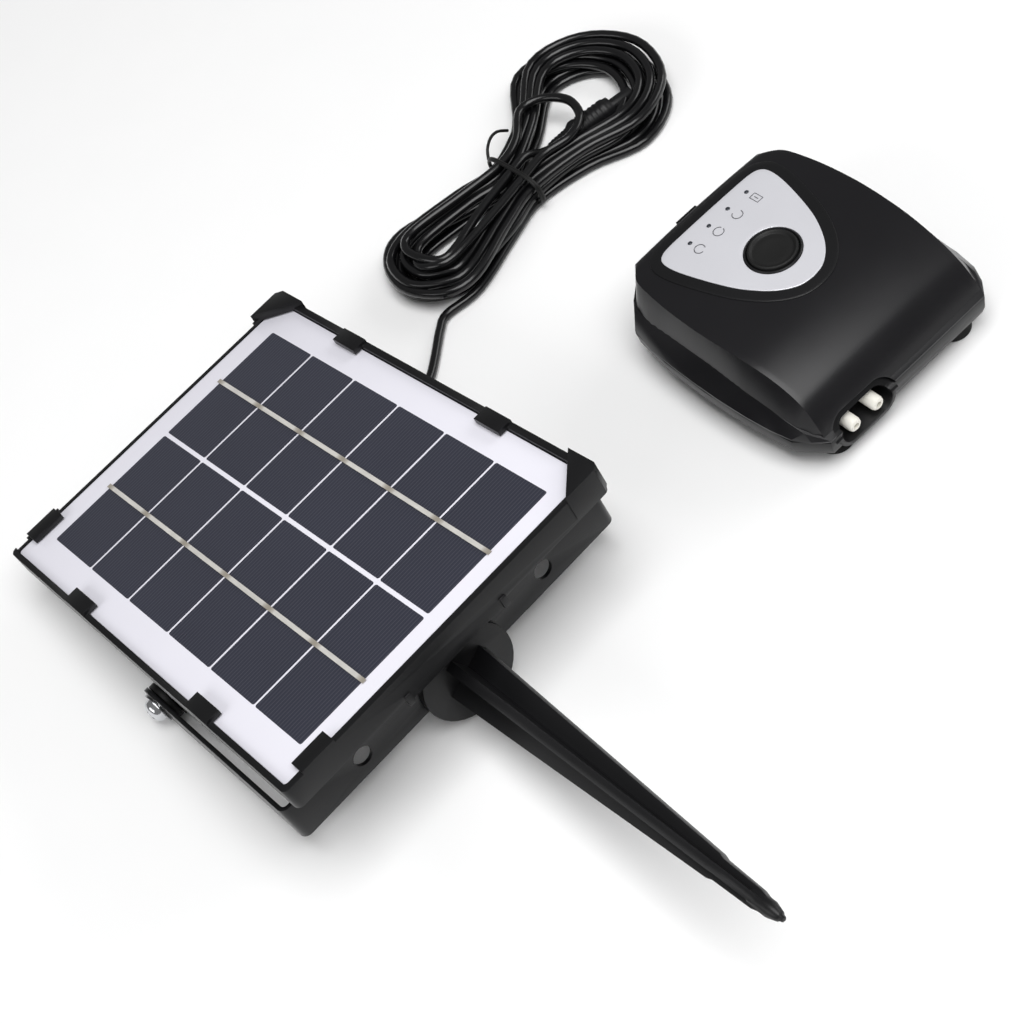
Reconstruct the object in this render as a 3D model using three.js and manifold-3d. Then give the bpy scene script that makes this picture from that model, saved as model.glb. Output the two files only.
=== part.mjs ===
// Solar air-pump kit: a solar panel on a U-bracket with a ground stake, its lead tied in a hank,
// and a battery air pump with two outlets. Millimetres, +Z up. +X runs along the stake, away from
// the panel, and +Y runs from the panel to the pump. The origin is on the floor, in the middle of
// the box round everything but the lead.

import * as THREE from "three";
import { mergeVertices } from "three/addons/utils/BufferGeometryUtils.js";
import Module from "manifold-3d";

const wasm = await Module();
wasm.setup();

// ---------------------------------------------------------------- driving dimensions
const GAP = 0.3; // what touching pieces keep between them
const PITCH = THREE.MathUtils.degToRad(9.22); // the panel rises this much towards the stake
const KIT_SHIFT = [-66.35, -70.94]; // from the middle of the cells to the middle of the kit

// Panel, in its own frame: origin in the middle of the cells' face, +Z out of the glass.
const FRAME = { length: 182, width: 135, corner: 2.5, top: 1, bottom: -8, wall: 2.5, ledge: 4 };
const BOARD = { length: 177.8, width: 130, corner: 1.2, x: -0.7, y: -0.3, top: -1, bottom: -3 };
const CELL = { along: 26, across: 52.7, thick: 0.3, top: -0.4, gapAlong: 0.8, gapAcross: 1.6 };
const CELL_COLUMNS = 6;
const CELL_STRIPS = 2;
const RIBBON = { width: 1.6, bottom: -0.1, top: 0.1, overrun: 1 };
const CLIP = { width: 13, reach: 3.4, bottom: 0.2, top: 2.2 };
const CORNER_CLIP = { leg: 15, chamfer: 2.4, bottom: -7, top: 3.4 };
const LOW_RIM = { top: -0.1, runs: [[-65, -60], [-45, 52]] }; // the far rim is nearly level with the board
const SKIRT = { from: -21.5, to: 19.5, drop: 2 };
const COVER = { bottom: -7.8, top: -5.8 };

// Pivots of the bracket, on two lugs behind the panel.
const PIVOT = { x: -11, z: -29.5, bore: 2.3 };
const LUG = { inner: 58, outer: 66.3, half: 9, foot: 5, drop: 6 };
const STRAP = { width: 15, thick: 1.5, inside: 69.2, front: 73.2, bend: 3, hole: 3.5, holeSpread: 40.8 };

// Ground stake, along +X from its head on the bracket.
const STAKE = { y: 0.9, z: -33.6, head: 17.2, headThick: 3, length: 147, root: 18.6, tip: 6.6, rib: 3.4 };
const STAKE_LEAN = THREE.MathUtils.degToRad(-1.9);
const STAKE_ROLL = THREE.MathUtils.degToRad(25);
const STAKE_BACK = STRAP.front + 3 * GAP;

// Pump, in its own frame: origin on the floor under its middle, outlets towards +X.
const PUMP_PLACE = { x: 71.8, y: 170.2, yaw: THREE.MathUtils.degToRad(-3.65) };
const PUMP = { front: 49, back: -50, half: 46, floor: 5, seam: 14, wall: 2 };
const FOOT = { x: 40, y: 28, radius: 6.3, height: 5 };
const POSTS = [[-38, -28], [-38, 28], [33, -35], [36, 33]];
const OUTLET = { y: -19.8, z: 11.3, spread: 10.4, radius: 2.6, well: 4.6, wellHalf: 6.7, depth: 10, lip: 1.6, crown: 1.3 };
const BUTTON = { x: -6.8, radius: 8.8, travel: 1.2 };
const ENGINE = { y: -20, z: 18, radius: 10.6 };
const LAMP_X = -33.5;
const LAMP_SPREAD = 9;

// Lead: a round two-core cable.
const CORD = 3.6;
const HANK = { x: -66, bottom: 0.2, top: 14.4, waist: 162, tieGroove: 1.4 };

// ---------------------------------------------------------------- solids
const solidOf = (geometry) => {
  const bare = geometry.clone();
  bare.deleteAttribute("normal");
  bare.deleteAttribute("uv");
  const merged = mergeVertices(bare, 1e-4);
  const vertProperties = new Float32Array(merged.attributes.position.array);
  const triVerts = new Uint32Array(merged.index.array);
  return new wasm.Manifold(new wasm.Mesh({ numProp: 3, vertProperties, triVerts }));
};

const geometryOf = (solid) => {
  const { vertProperties, triVerts } = solid.getMesh();
  const geometry = new THREE.BufferGeometry();
  geometry.setAttribute("position", new THREE.BufferAttribute(vertProperties, 3));
  geometry.setIndex(new THREE.BufferAttribute(triVerts, 1));
  return geometry;
};

const union = (first, ...rest) => rest.reduce((sum, solid) => sum.add(solid), first);
const cut = (first, ...rest) => rest.reduce((left, solid) => left.subtract(solid), first);

// A box between two opposite corners.
const block = (low, high) => {
  const size = high.map((value, axis) => value - low[axis]);
  const middle = high.map((value, axis) => (value + low[axis]) / 2);
  return solidOf(new THREE.BoxGeometry(...size).translate(...middle));
};

// A shape drawn in XY, extruded from one height to another.
const prism = (shape, low, high, curveSegments = 6) => {
  const options = { depth: high - low, bevelEnabled: false, curveSegments };
  return solidOf(new THREE.ExtrudeGeometry(shape, options).translate(0, 0, low));
};

// A shape drawn with its x along Y and its y along Z, extruded along X.
const prismX = (shape, low, high, curveSegments = 6) => {
  const options = { depth: high - low, bevelEnabled: false, curveSegments };
  const geometry = new THREE.ExtrudeGeometry(shape, options);
  const axes = [new THREE.Vector3(0, 1, 0), new THREE.Vector3(0, 0, 1), new THREE.Vector3(1, 0, 0)];
  geometry.applyMatrix4(new THREE.Matrix4().makeBasis(...axes));
  return solidOf(geometry.translate(low, 0, 0));
};

// A shape drawn with its x along X and its y along Z, extruded along Y.
const prismY = (shape, low, high, curveSegments = 6) => {
  const options = { depth: high - low, bevelEnabled: false, curveSegments };
  const geometry = new THREE.ExtrudeGeometry(shape, options);
  geometry.rotateX(Math.PI / 2);
  return solidOf(geometry.translate(0, high, 0));
};

// A turned form: [radius, place along the axis] pairs, closed on the axis.
const turned = (profile, axis, centre, segments = 20) => {
  const points = profile.map(([radius, along]) => new THREE.Vector2(radius, along));
  const geometry = new THREE.LatheGeometry(points, segments);
  if (axis === "x") geometry.rotateZ(-Math.PI / 2);
  if (axis === "z") geometry.rotateX(Math.PI / 2);
  return solidOf(geometry.translate(...centre));
};

const rod = (axis, centre, radius, from, to, segments = 20) =>
  turned([[0, from], [radius, from], [radius, to], [0, to]], axis, centre, segments);

const roundedRectangle = (length, width, radius, x = 0, y = 0) => {
  const [left, right] = [x - length / 2, x + length / 2];
  const [low, high] = [y - width / 2, y + width / 2];
  const shape = new THREE.Shape();
  shape.moveTo(left + radius, low);
  shape.lineTo(right - radius, low);
  shape.absarc(right - radius, low + radius, radius, -Math.PI / 2, 0, false);
  shape.lineTo(right, high - radius);
  shape.absarc(right - radius, high - radius, radius, 0, Math.PI / 2, false);
  shape.lineTo(left + radius, high);
  shape.absarc(left + radius, high - radius, radius, Math.PI / 2, Math.PI, false);
  shape.lineTo(left, low + radius);
  shape.absarc(left + radius, low + radius, radius, Math.PI, 1.5 * Math.PI, false);
  return shape;
};

const polygon = (points) => new THREE.Shape(points.map(([x, y]) => new THREE.Vector2(x, y)));

// A closed skin through rings of points, each ring with as many points as the last.
const loft = (rings) => {
  const count = rings[0].length;
  const last = (rings.length - 1) * count;
  const index = [];
  for (let ring = 0; ring < rings.length - 1; ring += 1) {
    for (let i = 0; i < count; i += 1) {
      const [a, b] = [ring * count + i, ring * count + ((i + 1) % count)];
      index.push(a, b, b + count, a, b + count, a + count);
    }
  }
  const flat = rings[0].map(([x, y]) => new THREE.Vector2(x, y));
  const caps = THREE.ShapeUtils.triangulateShape(flat, []);
  for (const [a, b, c] of caps) index.push(a, c, b, last + a, last + b, last + c);
  const geometry = new THREE.BufferGeometry();
  geometry.setAttribute("position", new THREE.Float32BufferAttribute(rings.flat(2), 3));
  geometry.setIndex(index);
  return geometry;
};

// ---------------------------------------------------------------- finishes and placing
const finish = (color, roughness, metalness = 0) => ({ color, roughness, metalness });
const BLACK_PLASTIC = finish(0x1b1b1d, 0.45);
const SATIN_BLACK = finish(0x161618, 0.3);
const BLACK_STEEL = finish(0x1d1d20, 0.4, 0.3);
const BRIGHT_STEEL = finish(0xc9cbce, 0.22, 1);
const BACKSHEET = finish(0xe4e3ea, 0.35);
const SILICON = finish(0x31333f, 0.3);
const TINNED = finish(0xcfc9b8, 0.35, 0.6);
const RUBBER = finish(0x121213, 0.75);
const SILVER_FILM = finish(0xc3c4c9, 0.35, 0.4);
const IVORY = finish(0xeceade, 0.4);
const GREEN_BOARD = finish(0x1f5a38, 0.5);
const PVC = finish(0x101011, 0.28);
const CLEAR_HOSE = finish(0xd8dcdc, 0.3);
const CELL_WRAP = finish(0x2f6fae, 0.4);
const LAMP = finish(0x3a3f46, 0.2);

const place = (group, name, solid, look) => {
  const mesh = new THREE.Mesh(geometryOf(solid), new THREE.MeshStandardMaterial(look));
  mesh.name = name;
  group.add(mesh);
};

const SIDES = [["left", -1], ["right", 1]];

// ---------------------------------------------------------------- the panel
const halfLength = FRAME.length / 2;
const halfWidth = FRAME.width / 2;

// A hook over the edge of the board, from the wall inwards.
const edgeClip = (side, along) => {
  const [w, r] = [CLIP.width / 2, CLIP.reach + FRAME.wall];
  const [low, high] = [FRAME.top - 1.5, CLIP.top];
  if (side === "+y") return block([along - w, halfWidth - r, CLIP.bottom], [along + w, halfWidth, high]);
  if (side === "-y") return block([along - w, -halfWidth, CLIP.bottom], [along + w, r - halfWidth, high]);
  if (side === "+x") return block([halfLength - r, along - w, CLIP.bottom], [halfLength, along + w, high]);
  return block([-halfLength, along - w, CLIP.bottom], [r - halfLength, along + w, Math.max(low, high)]);
};

// A three-cornered cap over a corner of the frame, running down the outside of the wall.
const cornerClip = (signX) => {
  const { leg, chamfer, bottom, top } = CORNER_CLIP;
  const [x, y] = [signX * (halfLength + 0.6), halfWidth + 0.6];
  const cap = polygon([[x - signX * chamfer, y], [x - signX * leg, y], [x, y - leg], [x, y - chamfer]]);
  const inner = roundedRectangle(FRAME.length - FRAME.wall, FRAME.width - FRAME.wall, 1);
  return cut(prism(cap, bottom, top), prism(inner, bottom - 1, CLIP.bottom));
};

const panelFrame = () => {
  const { wall, ledge, top, bottom, corner } = FRAME;
  const outer = prism(roundedRectangle(FRAME.length, FRAME.width, corner), bottom, top);
  const inner = [FRAME.length - 2 * wall, FRAME.width - 2 * wall];
  const seatSize = [BOARD.length + 2 * GAP, BOARD.width + 2 * GAP, corner - 1, BOARD.x, BOARD.y];
  const seat = prism(roundedRectangle(...seatSize), BOARD.bottom - GAP, top + 1);
  const lowRim = LOW_RIM.runs.map(([from, to]) =>
    block([-halfLength - 1, from, LOW_RIM.top], [3 - halfLength, to, top + 1]));
  const window = [inner[0] - 2 * ledge, inner[1] - 2 * ledge];
  const opening = prism(roundedRectangle(...window, 2), bottom - 1, top + 1);
  const coverSeat = prism(roundedRectangle(inner[0] - 3, inner[1] - 3, 2), bottom - 1, COVER.top + GAP);
  const tray = cut(outer, seat, opening, coverSeat, ...lowRim);
  const clips = [
    edgeClip("+y", -42), edgeClip("+y", 41), edgeClip("-y", -41.5), edgeClip("-y", 40),
    edgeClip("-x", -52.5), edgeClip("+x", -53), cornerClip(1), cornerClip(-1),
  ];
  const skirt = block([halfLength - 2, SKIRT.from, bottom - SKIRT.drop], [halfLength, SKIRT.to, bottom + 1]);
  const nubs = [SKIRT.from, SKIRT.to].map((y) =>
    block([halfLength - 2, y - 1.2, bottom - 2.6], [halfLength + 0.8, y + 1.2, bottom + 1.4]));
  return union(tray, ...clips, skirt, ...nubs);
};

const rearCover = () => {
  const inset = 2 * (FRAME.wall + 1.5 + GAP);
  const sheet = roundedRectangle(FRAME.length - inset, FRAME.width - inset, 1.5);
  const lugs = SIDES.map(([, sign]) => {
    const { x, z } = PIVOT;
    const { half, foot, drop } = LUG;
    const root = COVER.bottom + 1;
    const side = polygon([[x - half, root], [x - half, z], [x - foot, z - drop], [x + foot, z - drop], [x + half, z],
      [x + half, root]]);
    const [a, b] = sign > 0 ? [LUG.inner, LUG.outer] : [-LUG.outer, -LUG.inner];
    return prismY(side, a, b, 12);
  });
  const tall = LUG.outer - (halfWidth - inset / 2);
  const clear = SIDES.map(([, sign]) => {
    const edge = halfWidth - inset / 2;
    const [a, b] = sign > 0 ? [edge, edge + tall + 1] : [-edge - tall - 1, -edge];
    return block([PIVOT.x - 12, a, FRAME.bottom - GAP], [PIVOT.x + 12, b, COVER.top]);
  });
  const bores = SIDES.map(([, sign]) =>
    rod("y", [PIVOT.x, 0, PIVOT.z], PIVOT.bore, ...(sign > 0 ? [55, 70] : [-70, -55]), 16));
  return cut(union(prism(sheet, COVER.bottom, COVER.top), ...lugs), ...clear, ...bores);
};

const solarBoard = () =>
  prism(roundedRectangle(BOARD.length, BOARD.width, BOARD.corner, BOARD.x, BOARD.y), BOARD.bottom, BOARD.top);

const solarCell = (column, strip) => {
  const x = (column - (CELL_COLUMNS - 1) / 2) * (CELL.along + CELL.gapAlong);
  const y = (strip - (CELL_STRIPS - 1) / 2) * (CELL.across + CELL.gapAcross);
  return prism(roundedRectangle(CELL.along, CELL.across, 0.8, x, y), CELL.top - CELL.thick, CELL.top, 2);
};

const ribbon = (strip) => {
  const y = (strip - (CELL_STRIPS - 1) / 2) * (CELL.across + CELL.gapAcross);
  const half = (CELL_COLUMNS * CELL.along + (CELL_COLUMNS - 1) * CELL.gapAlong) / 2 + RIBBON.overrun;
  return block([-half, y - RIBBON.width / 2, RIBBON.bottom], [half, y + RIBBON.width / 2, RIBBON.top]);
};

// Junction box on the back, its gland towards +Y, and the box's lid.
const JUNCTION = { x: -26, y: 18, length: 30, width: 34, bottom: -19, wall: 1.8 };
const GLAND = { from: 35.3, to: 51, z: -14.2 };
const junctionBox = () => {
  const { x, y, length, width, bottom, wall } = JUNCTION;
  const top = COVER.bottom - GAP;
  const body = prism(roundedRectangle(length, width, 2.5, x, y), bottom + 2, top);
  const room = prism(roundedRectangle(length - 2 * wall, width - 2 * wall, 1.5, x, y), bottom, top - wall);
  return cut(body, room, rod("y", [x, 0, GLAND.z], 2.2, y, y + width, 14));
};
const junctionLid = () => {
  const { x, y, length, width, bottom, wall } = JUNCTION;
  const plate = prism(roundedRectangle(length, width, 2.5, x, y), bottom, bottom + 2 - GAP);
  const inner = [length - 2 * wall - 2 * GAP, width - 2 * wall - 2 * GAP];
  const plug = prism(roundedRectangle(...inner, 1.2, x, y), bottom + 1, bottom + 3);
  return union(plate, plug);
};
const cordGland = () => {
  const { from, to, z } = GLAND;
  const profile = [[0, from], [4, from], [4, from + 3], [3.4, from + 4], [2.5, to], [0, to]];
  return cut(turned(profile, "y", [JUNCTION.x, 0, z], 16), rod("y", [JUNCTION.x, 0, z], 2.1, to - 3, to + 1, 16));
};

// ---------------------------------------------------------------- the bracket and its pivots
const bracket = () => {
  const outside = STRAP.inside + STRAP.thick;
  const back = PIVOT.x - STRAP.width / 2 - 1;
  const strap = new THREE.Shape();
  strap.moveTo(back, -outside);
  strap.lineTo(STRAP.front - STRAP.bend, -outside);
  strap.absarc(STRAP.front - STRAP.bend, STRAP.bend - outside, STRAP.bend, -Math.PI / 2, 0, false);
  strap.lineTo(STRAP.front, outside - STRAP.bend);
  strap.absarc(STRAP.front - STRAP.bend, outside - STRAP.bend, STRAP.bend, 0, Math.PI / 2, false);
  strap.lineTo(back, outside);
  strap.lineTo(back, STRAP.inside);
  const inner = STRAP.bend - STRAP.thick;
  const face = STRAP.front - STRAP.thick;
  strap.lineTo(face - inner, STRAP.inside);
  strap.absarc(face - inner, STRAP.inside - inner, inner, Math.PI / 2, 0, true);
  strap.lineTo(face, inner - STRAP.inside);
  strap.absarc(face - inner, inner - STRAP.inside, inner, 0, -Math.PI / 2, true);
  strap.lineTo(back, -STRAP.inside);
  const half = STRAP.width / 2;
  const bent = prism(strap, PIVOT.z - half, PIVOT.z + half);
  const ends = new THREE.Shape();
  ends.moveTo(STRAP.front + 1, PIVOT.z - half);
  ends.lineTo(STRAP.front + 1, PIVOT.z + half);
  ends.lineTo(PIVOT.x, PIVOT.z + half);
  ends.absarc(PIVOT.x, PIVOT.z, half, Math.PI / 2, 1.5 * Math.PI, false);
  const trimmed = bent.intersect(prismY(ends, -outside - 1, outside + 1, 12));
  const pivots = rod("y", [PIVOT.x, 0, PIVOT.z], PIVOT.bore, -80, 80, 16);
  const mounts = SIDES.map(([, sign]) => {
    const place = [0, sign * STRAP.holeSpread, PIVOT.z];
    return rod("x", place, STRAP.hole, STRAP.front - 4, STRAP.front + 2, 24);
  });
  const centre = rod("x", [0, STAKE.y, STAKE.z], 2.6, STRAP.front - 4, STRAP.front + 2, 16);
  return cut(trimmed, pivots, ...mounts, centre);
};

// Screw, rubber washer and nut at one pivot; the screw's head is outside the bracket.
const pivotScrew = (sign) => {
  const head = sign * (STRAP.inside + STRAP.thick + GAP);
  const end = sign * (LUG.inner - 6);
  const profile = [[0, end], [1.9, end], [1.9, head], [6, head], [6, head + sign * 0.9],
    [4.4, head + sign], [3.9, head + sign * 2.6], [2.2, head + sign * 3.6], [0, head + sign * 3.9]];
  const ordered = sign > 0 ? profile : [...profile].reverse();
  return turned(ordered, "y", [PIVOT.x, 0, PIVOT.z], 20);
};
const ring = (axisY, outer, inner, from, to, segments = 20) => cut(
  rod("y", axisY, outer, Math.min(from, to), Math.max(from, to), segments),
  rod("y", axisY, inner, Math.min(from, to) - 1, Math.max(from, to) + 1, 16));
const pivotWasher = (sign) =>
  ring([PIVOT.x, 0, PIVOT.z], 7.2, 2.3, sign * (LUG.outer + GAP), sign * (STRAP.inside - GAP));
const pivotNut = (sign) =>
  ring([PIVOT.x, 0, PIVOT.z], 4.2, 2.2, sign * (LUG.inner - GAP), sign * (LUG.inner - 3.8), 6);

// ---------------------------------------------------------------- the stake, in its own frame along +X
const crossSection = (width, rib, roll) => {
  const [h, r] = [width / 2, rib / 2];
  const corners = [[r, h], [-r, h], [-r, r], [-h, r], [-h, -r], [-r, -r], [-r, -h], [r, -h], [r, -r], [h, -r], [h, r], [r, r]];
  const [c, s] = [Math.cos(roll), Math.sin(roll)];
  return corners.map(([y, z]) => [c * y - s * z, s * y + c * z]);
};
const groundStake = () => {
  const stations = [[STAKE.headThick - 1, STAKE.root, STAKE.rib], [STAKE.length - 27, STAKE.tip + 1.2, 2.8],
    [STAKE.length - 25, STAKE.tip, 2.8], [STAKE.length - 10, STAKE.tip - 0.8, 2.6], [STAKE.length, 1.6, 0.8]];
  const rings = stations.map(([x, width, rib]) => crossSection(width, rib, STAKE_ROLL).map(([y, z]) => [y, z, x]));
  const spike = loft(rings);
  const axes = [new THREE.Vector3(0, 1, 0), new THREE.Vector3(0, 0, 1), new THREE.Vector3(1, 0, 0)];
  spike.applyMatrix4(new THREE.Matrix4().makeBasis(...axes));
  const nose = turned([[0, STAKE.length - 12], [2.6, STAKE.length - 12], [2.6, STAKE.length - 5],
    [1.6, STAKE.length - 1.5], [0, STAKE.length]], "x", [0, 0, 0], 12);
  const head = rod("x", [0, 0, 0], STAKE.head, 0, STAKE.headThick, 40);
  const bore = rod("x", [0, 0, 0], 1.9, -1, 9, 12);
  return cut(union(head, solidOf(spike), nose), bore);
};
const stakeScrew = () => {
  const head = -(STRAP.thick + 5 * GAP);
  const profile = [[0, head - 2.4], [2.6, head - 2], [3.8, head], [1.6, head], [1.6, 8], [0, 8]];
  return turned(profile, "x", [0, 0, 0], 16);
};

// ---------------------------------------------------------------- the pump's housing
// The hood of the upper housing from its back over the top and down the front: [x, height, half width].
const HOOD_TOP = [[-45.4, 32, 29], [-43.4, 33.5, 29.5], [-38.5, 33.9, 35], [-5, 34.8, 38.5], [16, 34, 37.5],
  [28, 31.8, 36.5], [36, 29.1, 36.2], [42, 24.6, 36.2], [45.6, 20, 36.4], [47.6, 16, 36.5]];
const HOOD_FOOT = [[-50, 28.5], [-40, 38], [-5, 40.4], [16, 40], [40, 38], [48, 36.5]];
// The flare along its sides, from the seam up to where it meets the hood: [x, height, half width].
const FLARE_TOP = [[-47.5, 22.5, 30.5], [-38, 23.4, 40], [0, 23, 40], [15, 22.6, 41], [28, 21, 40.4], [42, 18, 40], [46, 16.4, 37]];
// The hood's crown across its width: [share of the half width, height over the edge].
const CROWN = [[0, 0.9], [0.6, 0.6], [0.97, 0], [1, -1.3]];

const mirrored = (points) => points.flatMap(([x, y, z]) => [[x, y, z], [x, -y, z]]);
const upperForm = (inset, low) => {
  const narrow = 1 - inset / 48;
  const crown = HOOD_TOP.flatMap(([x, z, half]) => CROWN.map(([share, lift]) =>
    [x * narrow, (half - inset) * share, z + lift - inset]));
  const foot = HOOD_FOOT.map(([x, half]) => [x * narrow, half - inset, low]);
  const hood = wasm.Manifold.hull(mirrored([...crown, ...foot]));
  const rim = FLARE_TOP.map(([x, z, half]) => [x * narrow, half - inset, z - inset / 2]);
  const seam = planOutline(inset).map(([x, y]) => [x, y, low]);
  return union(hood, wasm.Manifold.hull([...mirrored(rim), ...seam]));
};

// The plan of the housing: bulging sides and cut corners.
const planOutline = (inset) => {
  const points = [[PUMP.front, 36], [38.5, 43.2], [20, 45.4], [0, PUMP.half], [-20, 45.4], [-38, 42.6], [PUMP.back, 29]];
  const both = [...points, ...[...points].reverse().map(([x, y]) => [x, -y])];
  return both.map(([x, y]) => [x * (1 - inset / PUMP.front), y * (1 - inset / PUMP.half)]);
};
const plan = (inset, low, high) => prism(polygon(planOutline(inset)), low, high);

const wellOutline = (grow) => {
  const shape = new THREE.Shape();
  const radius = OUTLET.well + grow;
  shape.moveTo(OUTLET.y - OUTLET.wellHalf, OUTLET.z - radius);
  shape.lineTo(OUTLET.y + OUTLET.wellHalf, OUTLET.z - radius);
  shape.absarc(OUTLET.y + OUTLET.wellHalf, OUTLET.z, radius, -Math.PI / 2, Math.PI / 2, false);
  shape.lineTo(OUTLET.y - OUTLET.wellHalf, OUTLET.z + radius);
  shape.absarc(OUTLET.y - OUTLET.wellHalf, OUTLET.z, radius, Math.PI / 2, 1.5 * Math.PI, false);
  return shape;
};
const wellBack = PUMP.front - OUTLET.depth;
const outletPlaces = [OUTLET.y - OUTLET.spread / 2, OUTLET.y + OUTLET.spread / 2];

const FEET = [[-1, -1], [-1, 1], [1, -1], [1, 1]].map(([a, b]) => [a * FOOT.x, b * FOOT.y]);
const SOCKET = { y: -0.5, z: 20, half: 4.7 };

const upperHousing = () => {
  const low = PUMP.seam + GAP;
  const outer = upperForm(0, low).intersect(plan(0, low - 1, 60));
  const inner = upperForm(PUMP.wall, low - 2).intersect(plan(PUMP.wall, low - 3, 60));
  const posts = POSTS.map(([x, y]) =>
    rod("z", [x, y, 0], 3.4, 17, 30, 14));
  const shell = union(cut(outer, inner), ...posts.map((post) => post.intersect(upperForm(1, low))));
  const labelSeat = prism(labelOutline(GAP), 33.2, 60, 8).intersect(upperForm(0, low)).subtract(upperForm(0.9, low));
  const buttonHole = rod("z", [BUTTON.x, 0, 0], BUTTON.radius + GAP, 20, 60, 32);
  const lamps = lampPlaces.map((y) => rod("z", [LAMP_X, y, 0], 1.3, 20, 60, 10));
  const arch = prismX(wellOutline(OUTLET.lip + OUTLET.crown + GAP), wellBack - 2 - GAP, 60);
  const socket = block([-60, SOCKET.y - SOCKET.half - GAP, 10], [-40, SOCKET.y + SOCKET.half + GAP, 26.4]);
  const bores = POSTS.map(([x, y]) => rod("z", [x, y, 0], 1.7, 10, 21, 12));
  return cut(shell, labelSeat, buttonHole, ...lamps, ...bores, arch, socket);
};

const lampPlaces = [-1.5, -0.5, 0.5, 1.5].map((step) => step * LAMP_SPREAD);

// Shield-shaped label: straight along the back, coming to a rounded point in front of the button.
function labelOutline(grow) {
  const shape = new THREE.Shape();
  const g = grow;
  shape.moveTo(-38.5 - g, -20);
  shape.quadraticCurveTo(-38.5 - g, -25 - g, -33, -25 - g);
  shape.bezierCurveTo(-18, -24.6 - g, 4, -17 - g, 10 + g, -4);
  shape.quadraticCurveTo(11.4 + g, 0, 10 + g, 4);
  shape.bezierCurveTo(4, 17 + g, -18, 24.6 + g, -33, 25 + g);
  shape.quadraticCurveTo(-38.5 - g, 25 + g, -38.5 - g, 20);
  return shape;
}
const labelPlate = () => {
  const low = PUMP.seam + GAP;
  const skin = upperForm(0, low).subtract(upperForm(0.6, low));
  const plate = prism(labelOutline(0), 33.2, 60, 8).intersect(skin);
  const lamps = lampPlaces.map((y) => rod("z", [LAMP_X, y, 0], 1.3, 20, 60, 10));
  return cut(plate, rod("z", [BUTTON.x, 0, 0], BUTTON.radius + GAP, 20, 60, 32), ...lamps);
};

const powerButton = () => turned([[0, 32.4], [3, 32.4], [3, 33.4], [BUTTON.radius, 33.4], [BUTTON.radius, 36],
  [BUTTON.radius - 0.8, 36.7], [6.4, 36.9], [4, 36.4], [0, 36.2]], "z", [BUTTON.x, 0, 0], 32);

const lowerHousing = () => {
  const { floor, seam, wall } = PUMP;
  const rings = [[floor, 3], [floor + 1.5, 1.2], [floor + 4, 0.4], [seam, 0]].map(([z, inset]) =>
    planOutline(inset).map(([x, y]) => [x, y, z]));
  const tray = cut(solidOf(loft(rings)), plan(wall + 1, floor + wall, seam + 1));
  const { y, z, lip, crown } = OUTLET;
  const upperHalf = block([0, y - 30, z], [60, y + 30, 40]);
  const hoodSlope = polygon([[43.2, 18.8], [49.8, z], [60, z], [60, 30], [43.2, 30]]);
  const collar = union(prismX(wellOutline(lip), wellBack - 2, PUMP.front + 0.4),
    prismX(wellOutline(lip + crown), wellBack - 2, PUMP.front + 0.4).intersect(upperHalf));
  const frame = collar.subtract(prismY(hoodSlope, y - 30, y + 30));
  const well = prismX(wellOutline(0), wellBack, PUMP.front + 2);
  const boss = block([PUMP.back - 2.6, SOCKET.y - SOCKET.half, floor + 4], [PUMP.back + 8, SOCKET.y + SOCKET.half, 26]);
  const bossRoom = block([PUMP.back + 1.4, SOCKET.y - 3.4, floor + 4.5], [PUMP.back + 9, SOCKET.y + 3.4, 24.4]);
  const socketHole = rod("x", [0, SOCKET.y, SOCKET.z], 2.9, PUMP.back - 4, PUMP.back + 3, 16);
  const posts = POSTS.map(([a, b]) => rod("z", [a, b, 0], 3.8, floor, 16.4, 14));
  const postHoles = POSTS.map(([a, b]) => turned(
    [[0, floor - 1], [3.1, floor - 1], [3.1, floor + 3], [1.8, floor + 3], [1.8, 18], [0, 18]], "z", [a, b, 0], 12));
  const nozzleHoles = outletPlaces.map((place) => rod("x", [0, place, z], 3, wellBack - 4, wellBack + 1, 16));
  const body = union(tray, frame, boss, ...posts);
  return cut(body, well, bossRoom, socketHole, ...postHoles, ...nozzleHoles);
};

const suctionFoot = ([x, y]) => turned([[0, 0.6], [4.6, 0.3], [5.2, 0], [FOOT.radius, 0], [FOOT.radius, 0.8], [3.4, 2.6],
  [3.2, FOOT.height - 1], [4.4, FOOT.height - GAP], [0, FOOT.height - GAP]], "z", [x, y, 0], 20);

const housingScrew = ([x, y]) => turned([[0, 5.2], [2.6, 5.2], [2.6, 7.4], [1.4, 7.4], [1.4, 20], [0, 20]], "z",
  [x, y, 0], 12);

const airNozzle = (y) => {
  const [back, tip] = [wellBack - 9, PUMP.front + 0.2];
  const profile = [[0, back], [1.9, back], [1.9, wellBack - 6], [2.6, wellBack - 6], [2.6, tip - 1.2],
    [2.3, tip - 0.4], [1.7, tip], [1.1, tip], [1.1, tip - 6], [0, tip - 6]];
  return turned(profile, "x", [0, y, OUTLET.z], 16);
};
const outletNozzles = () => {
  const bridge = block([wellBack - 5.5, OUTLET.y - 7, OUTLET.z - 2.4], [wellBack - 2 - GAP, OUTLET.y + 7, OUTLET.z + 2.4]);
  return union(bridge, ...outletPlaces.map(airNozzle));
};

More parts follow.
